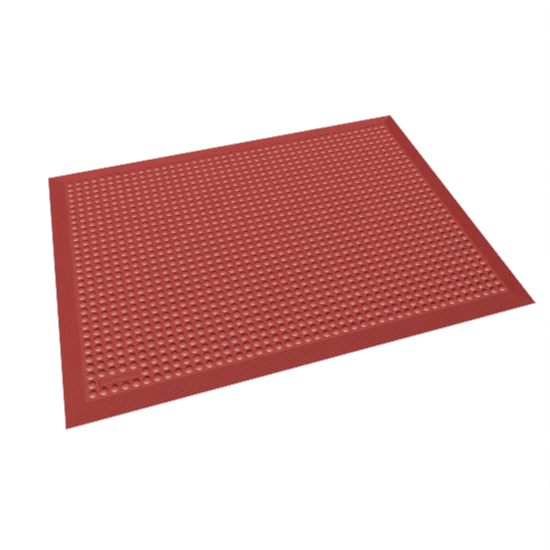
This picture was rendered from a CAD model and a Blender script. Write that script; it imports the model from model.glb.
"""Visual model of the anti-fatigue mat: domed wear sheet, ribbed edge ramps, blank plate, foam core and
base sheet, on a white floor under soft studio light, seen from the front left and above.

Metres, +Z up. The origin is on the floor under the mat's middle, +X runs to the right along its long side,
and +Y runs away from the front edge. Values in millimetres are marked, or multiplied by MM.
"""

import math

import bpy
import numpy as np
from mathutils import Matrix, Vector


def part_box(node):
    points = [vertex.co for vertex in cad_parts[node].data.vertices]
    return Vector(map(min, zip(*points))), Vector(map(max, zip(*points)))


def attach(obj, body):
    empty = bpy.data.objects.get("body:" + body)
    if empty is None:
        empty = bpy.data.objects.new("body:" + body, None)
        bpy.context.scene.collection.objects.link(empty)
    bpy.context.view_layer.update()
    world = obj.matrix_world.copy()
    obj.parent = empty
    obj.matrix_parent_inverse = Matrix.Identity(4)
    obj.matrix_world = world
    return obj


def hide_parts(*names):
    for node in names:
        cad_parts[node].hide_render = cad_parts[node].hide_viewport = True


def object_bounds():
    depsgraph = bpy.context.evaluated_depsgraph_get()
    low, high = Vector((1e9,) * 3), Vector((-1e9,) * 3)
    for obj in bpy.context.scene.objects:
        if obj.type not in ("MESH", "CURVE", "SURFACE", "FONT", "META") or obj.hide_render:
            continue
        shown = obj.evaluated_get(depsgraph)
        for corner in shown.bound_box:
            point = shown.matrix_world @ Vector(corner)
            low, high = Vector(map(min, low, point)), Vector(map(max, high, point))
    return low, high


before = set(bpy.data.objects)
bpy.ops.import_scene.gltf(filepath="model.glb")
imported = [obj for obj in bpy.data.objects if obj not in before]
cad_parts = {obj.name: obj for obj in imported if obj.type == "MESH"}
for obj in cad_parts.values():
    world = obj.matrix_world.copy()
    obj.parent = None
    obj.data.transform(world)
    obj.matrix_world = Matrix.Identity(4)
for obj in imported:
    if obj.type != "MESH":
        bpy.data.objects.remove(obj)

CAD_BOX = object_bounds()
MM = 0.001

# ---- the dome field ----
COLUMNS, ROWS = 44, 32
PITCH = 25 * MM
SHIFT = np.array([1.4 * MM, -2.0 * MM])  # of the field's middle from the mat's
FIELD_HALF = np.array([COLUMNS, ROWS]) * PITCH / 2
DOME_RADIUS = 9.7 * MM
DOME_HEIGHT = 4.5 * MM
DOME_POWER = 1.7  # 1 is a paraboloid and 2 an ellipsoid
SEGMENTS = 16  # round one dome, and round the cell that it sits in
RINGS = 7
FILLET = 0.3 * MM  # where a dome runs out into the deck
MERGE = 0.01 * MM  # points nearer than this are one
SHEET_CORNER = ((0.5, 0.0), (0.15, -0.1), (0.0, -0.5))  # mm in from the side, and up from the deck

# ---- the plate and its pocket ----
PLATE_ROW = 1
PLATE_COLUMNS = (1, 4)  # the first and last column without a dome
POCKET = np.array([93.0, 20.6]) * MM
POCKET_DEPTH = 2.6 * MM
POCKET_RIM = ((0.8, 0.0), (0.2, 0.0), (0.06, -0.06), (0.0, -0.2))  # mm out from the wall, up from the deck
PLATE_ROUND = 0.2 * MM
FOAM_ROUND = 0.8 * MM

# ---- the ramps ----
LIP = 2 * MM
RIBS = 10
GROOVE = ((-0.95, 0.0), (-0.8, 0.05), (-0.3, 0.62), (0.0, 0.7), (0.3, 0.62), (0.8, 0.05), (0.95, 0.0))  # mm
LIP_CORNER = ((0.0, -0.4), (0.12, -0.12), (0.4, 0.0))  # mm in from the outer face, and up from the lip
INNER_CORNER = ((-0.5, -0.08), (-0.12, -0.15), (0.0, -0.5))  # mm from the inner face, and up from the deck
HALF_GAP = 0.15 * MM  # between a ramp and the sheets
MITRE_GAP = 0.1 * MM  # taken off each end of a ramp

# ---- light and tone ----
WHITE = 2.65  # the scene light that the picture shows as white
AMBIENT = 0.05
KNEE, SHOULDER = 0.25, 1.7  # where the film curve starts to bend, and how hard
KEY_AZIMUTH, KEY_ELEVATION = 4, 31
KEY_STRENGTH, KEY_ANGLE = 8.4, 14
RAMP_KEY_ANGLE = 28
# each ramp's key lamp: its strength, and whether it shows in the gloss
RAMP_KEYS = (("front", 5.5, True), ("back", 12.2, False), ("left", 7.7, True), ("right", 7.0, False))
# lamps that show only in the panel's gloss: azimuth, elevation, strength, angle
CARDS = (("low_card", 12, 20, 11.0, 60), ("left_card", 60, 12, 5.0, 50), ("top_card", 10, 72, 1.4, 40))
CARD_COLOUR = (1, 1, 0.8)

SHEET_LOW, SHEET_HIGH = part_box("wear_sheet")
DECK = SHEET_HIGH[2] - DOME_HEIGHT
PLATE_LOW, PLATE_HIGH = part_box("blank_plate")


# ---- mesh helpers ----
def mesh_object(name, points, faces, material, sharp_angle=None, dark=None):
    """A smooth-shaded object from points and faces, each a tuple of point numbers. The faces marked in
    dark take the second of two materials."""
    mesh = bpy.data.meshes.new(name)
    sizes = np.fromiter((len(f) for f in faces), np.int32, len(faces))
    corners = np.concatenate([np.asarray(f, np.int32) for f in faces])
    starts = np.concatenate([[0], np.cumsum(sizes)[:-1]]).astype(np.int32)
    mesh.vertices.add(len(points))
    mesh.vertices.foreach_set("co", np.asarray(points, np.float32).ravel())
    mesh.loops.add(len(corners))
    mesh.loops.foreach_set("vertex_index", corners)
    mesh.polygons.add(len(faces))
    mesh.polygons.foreach_set("loop_start", starts)
    mesh.polygons.foreach_set("use_smooth", np.full(len(faces), True))
    if dark is not None:
        mesh.polygons.foreach_set("material_index", np.asarray(dark, np.int32))
    mesh.update(calc_edges=True)
    mesh.validate()
    if sharp_angle is not None:
        mesh.set_sharp_from_angle(angle=math.radians(sharp_angle))
    for each in material if isinstance(material, tuple) else (material,):
        mesh.materials.append(each)
    obj = bpy.data.objects.new(name, mesh)
    bpy.context.scene.collection.objects.link(obj)
    return obj


def ring_numbers(ring, count, start=0):
    """The point numbers of one closed ring of count points, where the rings follow each other."""
    return list(range(start + ring * count, start + (ring + 1) * count))


def strip(inner, outer):
    """The quads between two closed rings of point numbers, of the same length."""
    n = len(inner)
    return [(inner[k], outer[k], outer[(k + 1) % n], inner[(k + 1) % n]) for k in range(n)]


def place(obj, node):
    """obj stands for a CAD node and rides on the mat's one body."""
    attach(obj, "root")
    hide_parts(node)
    return obj


# ---- materials ----
def rubber(name, colour, dark, roughness, grain_mm=0.35, bump=0.25, specular=0.5):
    """Moulded rubber: a faint cloudy mottle, a tone that deepens towards the front right corner, fine
    grain in the surface, and uneven gloss."""
    mottle, fade, gloss_change = 0.5, 0.14, 0.04
    mat = bpy.data.materials.new(name)
    mat.use_nodes = True
    nodes, links = mat.node_tree.nodes, mat.node_tree.links
    shader = nodes["Principled BSDF"]
    shader.inputs["Specular IOR Level"].default_value = specular
    coords = nodes.new("ShaderNodeTexCoord")

    def noise(scale, detail):
        node = nodes.new("ShaderNodeTexNoise")
        node.inputs["Scale"].default_value = scale
        node.inputs["Detail"].default_value = detail
        node.inputs["Roughness"].default_value = 0.55
        links.new(coords.outputs["Object"], node.inputs["Vector"])
        return node.outputs["Fac"]

    def remap(source, low, high, low_value, high_value):
        node = nodes.new("ShaderNodeMapRange")
        node.inputs["From Min"].default_value = low
        node.inputs["From Max"].default_value = high
        node.inputs["To Min"].default_value = low_value
        node.inputs["To Max"].default_value = high_value
        links.new(source, node.inputs["Value"])
        return node.outputs["Result"]

    # between the dark and the light colour, mostly by the cloud and a little by the grain
    cloud, grain = noise(9, 3), noise(1 / (grain_mm * MM), 2)
    both = nodes.new("ShaderNodeMath")
    both.operation = "MULTIPLY_ADD"
    links.new(remap(cloud, 0.3, 0.7, 1 - mottle, 1), both.inputs[0])
    both.inputs[1].default_value = 0.8
    links.new(remap(grain, 0.3, 0.7, 0.0, 0.2), both.inputs[2])
    mix = nodes.new("ShaderNodeMix")
    mix.data_type = "RGBA"
    mix.inputs["A"].default_value = (*dark, 1)
    mix.inputs["B"].default_value = (*colour, 1)
    links.new(both.outputs[0], mix.inputs["Factor"])

    # deeper towards the front right corner
    position = nodes.new("ShaderNodeSeparateXYZ")
    links.new(coords.outputs["Object"], position.inputs["Vector"])
    corner = nodes.new("ShaderNodeMath")
    corner.operation = "MULTIPLY"
    links.new(remap(position.outputs["X"], -0.6, 0.6, 0.0, 1.0), corner.inputs[0])
    links.new(remap(position.outputs["Y"], 0.45, -0.45, 0.0, 1.0), corner.inputs[1])
    faded = nodes.new("ShaderNodeVectorMath")
    faded.operation = "SCALE"
    links.new(mix.outputs["Result"], faded.inputs[0])
    links.new(remap(corner.outputs[0], 0.0, 1.0, 1.0, 1 - fade), faded.inputs["Scale"])
    links.new(faded.outputs["Vector"], shader.inputs["Base Color"])

    # gloss and grain
    gloss = remap(noise(60, 4), 0.3, 0.7, roughness - gloss_change, roughness + gloss_change)
    links.new(gloss, shader.inputs["Roughness"])
    relief = nodes.new("ShaderNodeBump")
    relief.inputs["Strength"].default_value = bump
    relief.inputs["Distance"].default_value = 0.05 * MM
    links.new(grain, relief.inputs["Height"])
    links.new(relief.outputs["Normal"], shader.inputs["Normal"])
    return mat


RED = rubber("red_rubber", (0.345, 0.037, 0.0345), (0.300, 0.031, 0.029), 0.50)
PLATE_RED = rubber("plate_rubber", (0.335, 0.035, 0.031), (0.290, 0.029, 0.026), 0.50, grain_mm=0.6)
RIB_RED = rubber("ribbed_rubber", (0.340, 0.039, 0.034), (0.295, 0.033, 0.029), 0.60, specular=0.25)
GROOVE_RED = rubber("groove_rubber", (0.20, 0.024, 0.021), (0.17, 0.020, 0.018), 0.85, specular=0.1)
SIDE_GROOVE = rubber("side_groove_rubber", (0.29, 0.034, 0.030), (0.25, 0.029, 0.025), 0.85, specular=0.1)
SHADE = rubber("recess_rubber", (0.10, 0.012, 0.011), (0.06, 0.008, 0.007), 0.80)
BLACK = rubber("base_rubber", (0.032, 0.032, 0.034), (0.018, 0.018, 0.019), 0.78, grain_mm=0.8, bump=0.6)
FOAM = rubber("foam", (0.080, 0.080, 0.084), (0.045, 0.045, 0.048), 0.92, grain_mm=1.2, bump=0.9)


# ---- the wear sheet ----
def dome_height(r):
    return DOME_HEIGHT * np.maximum(1 - (r / DOME_RADIUS) ** 2, 0) ** (1 / DOME_POWER)


def cell():
    """One dome and the square of deck round it: its points about the cell's middle, and its faces."""
    turn = np.arange(SEGMENTS) * 2 * math.pi / SEGMENTS
    round_points = np.stack([np.cos(turn), np.sin(turn)], 1)
    radii = DOME_RADIUS * np.sin(np.arange(1, RINGS) * math.pi / 2 / RINGS)
    rings = [(r, dome_height(r)) for r in radii]
    rings += [(DOME_RADIUS, FILLET), (DOME_RADIUS + FILLET, 0.0), (DOME_RADIUS + 2 * FILLET, 0.0)]
    points = [np.array([[0, 0, DOME_HEIGHT]])]
    for r, z in rings:
        points.append(np.column_stack([round_points * r, np.full(SEGMENTS, z)]))
    square = round_points / np.abs(round_points).max(1, keepdims=True) * PITCH / 2
    points.append(np.column_stack([square, np.zeros(SEGMENTS)]))
    faces = [(0, 1 + k, 1 + (k + 1) % SEGMENTS) for k in range(SEGMENTS)]
    for ring in range(len(rings)):
        faces += strip(ring_numbers(ring, SEGMENTS, 1), ring_numbers(ring + 1, SEGMENTS, 1))
    return np.concatenate(points), faces


def plate_block():
    """The cells that the plate takes, as deck and a pocket with a rounded rim: points, faces, and how
    many of the last faces are its wall and floor."""
    columns = PLATE_COLUMNS[1] - PLATE_COLUMNS[0] + 1
    half = np.array([columns * PITCH / 2, PITCH / 2])
    eighth = math.tan(math.pi / 8)
    steps = np.array([-1, -eighth, 0, eighth]) * PITCH / 2
    along = np.concatenate([steps + (k + 0.5) * PITCH - half[0] for k in range(columns)])
    outline = [(x, -half[1]) for x in along] + [(half[0], y) for y in steps]
    outline += [(-x, half[1]) for x in along] + [(-half[0], -y) for y in steps]
    outline = np.array(outline)
    n = len(outline)
    points = [np.column_stack([outline, np.zeros(n)])]
    for out, up in (*POCKET_RIM, (0.0, -POCKET_DEPTH / MM)):
        rim = outline / half * (POCKET / 2 + out * MM)
        points.append(np.column_stack([rim, np.full(n, up * MM)]))
    last = len(points) - 1
    faces = []
    for ring in range(last):
        faces += strip(ring_numbers(ring + 1, n), ring_numbers(ring, n))
    faces.append(tuple(ring_numbers(last, n)))
    return np.concatenate(points), faces, 2 * n + 1


def cell_centre(column, row):
    middle = (np.array([column, row]) + 0.5) * PITCH - FIELD_HALF + SHIFT
    return np.append(middle, DECK)


def has_dome(column, row):
    return row != PLATE_ROW or not PLATE_COLUMNS[0] <= column <= PLATE_COLUMNS[1]


def dome_field():
    """The domes, the deck between them and the pocket, with shared points joined: points, faces, and
    which faces are the pocket's wall and floor."""
    unit, unit_faces = cell()
    grid = [(column, row) for row in range(ROWS) for column in range(COLUMNS) if has_dome(column, row)]
    pieces = [(unit + cell_centre(column, row), unit_faces) for column, row in grid]
    block, block_faces, in_pocket = plate_block()
    pieces.append((block + cell_centre(sum(PLATE_COLUMNS) / 2, PLATE_ROW), block_faces))

    faces, start = [], 0
    for piece_points, piece_faces in pieces:
        faces += [tuple(i + start for i in face) for face in piece_faces]
        start += len(piece_points)
    points = np.concatenate([piece_points for piece_points, _ in pieces])
    steps = np.round(points / MERGE).astype(np.int64)
    _, first, same = np.unique(steps, axis=0, return_index=True, return_inverse=True)
    same = same.ravel()
    faces = [tuple(same[i] for i in face) for face in faces]
    dark = np.zeros(len(faces), bool)
    dark[-in_pocket:] = True
    return points[first], faces, dark


def wear_sheet():
    """The dome field, and from its outline out over the margin, round the edge, down and underneath."""
    points, faces, dark = dome_field()
    plan = points[:, :2] - SHIFT
    on_side = np.abs(np.abs(plan) - FIELD_HALF) < MERGE
    outline = np.flatnonzero(np.any(on_side, axis=1))
    turn = np.arctan2(plan[outline, 1] / FIELD_HALF[1], plan[outline, 0] / FIELD_HALF[0])
    outline = outline[np.argsort(turn)].tolist()
    out = np.sign(plan[outline]) * on_side[outline]
    line, side, n = points[outline], np.array(SHEET_HIGH[:2]), len(outline)
    rims = [(inset * MM, DECK + up * MM) for inset, up in SHEET_CORNER]
    rims.append((0, SHEET_LOW[2]))
    loops, chain = [outline], [points]
    for k, (inset, z) in enumerate(rims):
        rim = np.where(out != 0, out * (side - inset), line[:, :2])
        chain.append(np.column_stack([rim, np.full(n, z)]))
        loops.append(ring_numbers(k, n, len(points)))
    for inner, outer in zip(loops, loops[1:]):
        faces += strip(inner, outer)
    faces.append(tuple(reversed(loops[-1])))
    dark = np.append(dark, np.zeros(len(faces) - len(dark), bool))
    return mesh_object(
        "domed_wear_sheet", np.concatenate(chain), faces, (RED, SHADE), sharp_angle=50, dark=dark
    )


# ---- the ramps ----
def ramp_profile(inner):
    """(inset from the outer edge, height, in a groove) up one ramp, rounded corners included."""
    full = inner + HALF_GAP
    slope, pitch = (DECK - LIP) / full, full / RIBS
    profile = [(0.0, 0.0, False)]
    profile += [(inset * MM, LIP + up * MM, False) for inset, up in LIP_CORNER]
    for k in range(1, RIBS):
        for across, drop in GROOVE:
            inset = k * pitch + across * MM
            profile.append((inset, LIP + slope * inset - drop * MM, drop > 0.0))
    profile += [(inner + inset * MM, DECK + up * MM, False) for inset, up in INNER_CORNER]
    profile.append((inner, 0.0, False))
    return profile


def edge_ramp(node, along, side, groove):
    """One ribbed, mitred ramp along X (along 0) or Y, on the negative or the positive side."""
    low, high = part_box(node)
    size = CAD_BOX[1][0] - CAD_BOX[0][0], CAD_BOX[1][1] - CAD_BOX[0][1]
    length, across = size[along], size[1 - along]
    profile = ramp_profile(high[1 - along] - low[1 - along])
    points = []
    for end in (-1, 1):
        for inset, z, _ in profile:
            run, off = end * (length / 2 - inset - MITRE_GAP), side * (across / 2 - inset)
            points.append((run, off, z) if along == 0 else (off, run, z))
    n = len(profile)
    faces = [tuple(range(n)), tuple(range(2 * n - 1, n - 1, -1))]
    faces += strip(ring_numbers(0, n), ring_numbers(1, n))
    dark = [False, False] + [profile[k][2] or profile[(k + 1) % n][2] for k in range(n)]
    if (side < 0) == (along == 0):
        faces = [tuple(reversed(face)) for face in faces]
    name = node.replace("_edge_ramp", "_ribbed_ramp")
    return mesh_object(name, points, faces, (RIB_RED, groove), sharp_angle=30, dark=dark)


# ---- plate and foam ----
def rounded_slab(name, low, high, radius, material):
    """A slab with rounded edges, and with corners of three times their radius in plan, as closed rings
    from the underside's rim to the top's."""
    corner_steps, edge_steps = 6, 8
    low, high = np.array(low), np.array(high)
    centre, half = (low + high) / 2, (high - low) / 2
    corner_radius = 3 * radius
    quarter = np.arange(corner_steps + 1) / corner_steps
    turn = math.pi / 2 * np.concatenate([k + quarter for k in range(4)])
    round_points = np.stack([np.cos(turn), np.sin(turn)], 1)
    signs = np.repeat(np.array([(1, 1), (-1, 1), (-1, -1), (1, -1)]), corner_steps + 1, axis=0)
    n = len(turn)
    rings = []
    for k in range(edge_steps + 1):
        tilt = -math.pi / 2 + math.pi * k / edge_steps
        pull = radius * (1 - math.cos(tilt))
        z = (half[2] - radius) * np.sign(round(math.sin(tilt), 6)) + radius * math.sin(tilt)
        plan = signs * (half[:2] - corner_radius) + round_points * (corner_radius - pull)
        rings.append(np.column_stack([plan + centre[:2], np.full(n, centre[2] + z)]))
    faces = [tuple(reversed(ring_numbers(0, n))), tuple(ring_numbers(edge_steps, n))]
    for ring in range(edge_steps):
        faces += strip(ring_numbers(ring + 1, n), ring_numbers(ring, n))
    return mesh_object(name, np.concatenate(rings), faces, material, sharp_angle=40)


place(wear_sheet(), "wear_sheet")
ramps = {}
for name, along, side, groove in (
    ("front", 0, -1, GROOVE_RED),
    ("back", 0, 1, SIDE_GROOVE),
    ("left", 1, -1, SIDE_GROOVE),
    ("right", 1, 1, SIDE_GROOVE),
):
    ramps[name] = edge_ramp(name + "_edge_ramp", along, side, groove)
    place(ramps[name], name + "_edge_ramp")
plate = rounded_slab("blank_plate_insert", PLATE_LOW, PLATE_HIGH, PLATE_ROUND, PLATE_RED)
place(plate, "blank_plate")
foam_low, foam_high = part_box("foam_core")
foam = rounded_slab("foam_cushion_core", foam_low, foam_high, FOAM_ROUND, FOAM)
place(foam, "foam_core")
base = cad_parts["base_sheet"]
for slot in base.material_slots:
    slot.material = BLACK


# ---- floor, lamps and camera ----
def floor_material():
    """White by its own light from above, and clear from below, to show the mat's underside."""
    mat = bpy.data.materials.new("white_floor")
    mat.use_nodes = True
    nodes, links = mat.node_tree.nodes, mat.node_tree.links
    shader = nodes["Principled BSDF"]
    shader.inputs["Base Color"].default_value = (0, 0, 0, 1)
    shader.inputs["Roughness"].default_value = 1.0
    shader.inputs["Emission Color"].default_value = (1, 1, 1, 1)
    shader.inputs["Emission Strength"].default_value = WHITE
    geometry = nodes.new("ShaderNodeNewGeometry")
    clear = nodes.new("ShaderNodeBsdfTransparent")
    sides = nodes.new("ShaderNodeMixShader")
    links.new(geometry.outputs["Backfacing"], sides.inputs["Fac"])
    links.new(shader.outputs["BSDF"], sides.inputs[1])
    links.new(clear.outputs["BSDF"], sides.inputs[2])
    links.new(sides.outputs["Shader"], nodes["Material Output"].inputs["Surface"])
    return mat


span = 12.0
floor_corners = [(-span, -span, 0), (span, -span, 0), (span, span, 0), (-span, span, 0)]
floor = mesh_object("floor", floor_corners, [(0, 1, 2, 3)], floor_material())
floor.location.z = -0.2 * MM  # just clear of the mat's underside
floor.visible_glossy = False


def sun(name, azimuth, elevation, strength, angle, lit, colour=(1, 1, 1)):
    """A soft lamp on the pieces in lit. Azimuth 0 is in front of the mat and 90 on its left."""
    lamp = bpy.data.lights.new(name, "SUN")
    lamp.energy = strength
    lamp.angle = math.radians(angle)
    lamp.color = colour
    obj = bpy.data.objects.new(name, lamp)
    bpy.context.scene.collection.objects.link(obj)
    a, e = math.radians(azimuth), math.radians(elevation)
    towards = Vector((-math.sin(a) * math.cos(e), -math.cos(a) * math.cos(e), math.sin(e)))
    obj.rotation_euler = (-towards).to_track_quat("-Z", "Y").to_euler()
    receivers = bpy.data.collections.new(name + "_lights")
    for each in lit:
        receivers.objects.link(each)
    obj.light_linking.receiver_collection = receivers
    return obj


panel = [obj for obj in bpy.context.scene.objects if obj.type == "MESH" and obj not in ramps.values()]
key = sun("key", KEY_AZIMUTH, KEY_ELEVATION, KEY_STRENGTH, KEY_ANGLE, panel)
key.visible_glossy = False
for name, strength, in_gloss in RAMP_KEYS:
    lamp = sun(name + "_key", KEY_AZIMUTH, KEY_ELEVATION, strength, RAMP_KEY_ANGLE, [ramps[name]])
    lamp.visible_glossy = in_gloss
for name, azimuth, elevation, strength, angle in CARDS:
    card = sun(name, azimuth, elevation, strength, angle, panel, CARD_COLOUR)
    card.visible_diffuse = False

world = bpy.data.worlds.new("studio")
bpy.context.scene.world = world
world.use_nodes = True
world_nodes, world_links = world.node_tree.nodes, world.node_tree.links
background = world_nodes["Background"]
background.inputs["Color"].default_value = (1, 1, 1, 1)
path = world_nodes.new("ShaderNodeLightPath")
seen = world_nodes.new("ShaderNodeMapRange")  # as white as the floor to the camera, and dim as a light
seen.inputs["To Min"].default_value = AMBIENT
seen.inputs["To Max"].default_value = WHITE
world_links.new(path.outputs["Is Camera Ray"], seen.inputs["Value"])
world_links.new(seen.outputs["Result"], background.inputs["Strength"])

camera_data = bpy.data.cameras.new("camera")
camera_data.sensor_width = 36
camera_data.lens = 36.77
camera = bpy.data.objects.new("camera", camera_data)
bpy.context.scene.collection.objects.link(camera)
camera.location = (-0.3233, -1.1231, 1.1730)
camera.rotation_euler = (math.radians(40.77), 0, math.radians(-17.17))
bpy.context.scene.camera = camera


# ---- tone ----
def film(x):
    """A film-like shoulder, so that highlights roll off gently."""
    over = max(x - KNEE, 0)
    return min(x, KNEE) + over / (1 + SHOULDER * over)


# red carries the mat's highlights, and green and blue stay low until the floor, so its edge isn't grey
RED_CURVE = [(x, film(x)) for x in (0.06, 0.125, 0.19, 0.25, 0.3, 0.37, 0.45, 0.6, 0.8, 1.1, 1.5, 1.7)]
CYAN_CURVE = [(x, film(x)) for x in (0.06, 0.125, 0.19, 0.25, 0.3, 0.36)]
CYAN_CURVE += [(0.6, 0.36), (1.0, 0.39), (1.4, 0.44), (2.0, 0.66)]
view = bpy.context.scene.view_settings
view.view_transform = "Standard"
view.use_curve_mapping = True
mapping = view.curve_mapping
mapping.white_level = (WHITE, WHITE, WHITE)
for channel, knots in enumerate((RED_CURVE, CYAN_CURVE, CYAN_CURVE)):
    curve = mapping.curves[channel]
    curve.points[0].location = (0, 0)
    curve.points[1].location = (1, 1)
    for x, y in knots:
        curve.points.new(x / WHITE, y)
    for point in curve.points:
        point.handle_type = "AUTO_CLAMPED"
mapping.update()
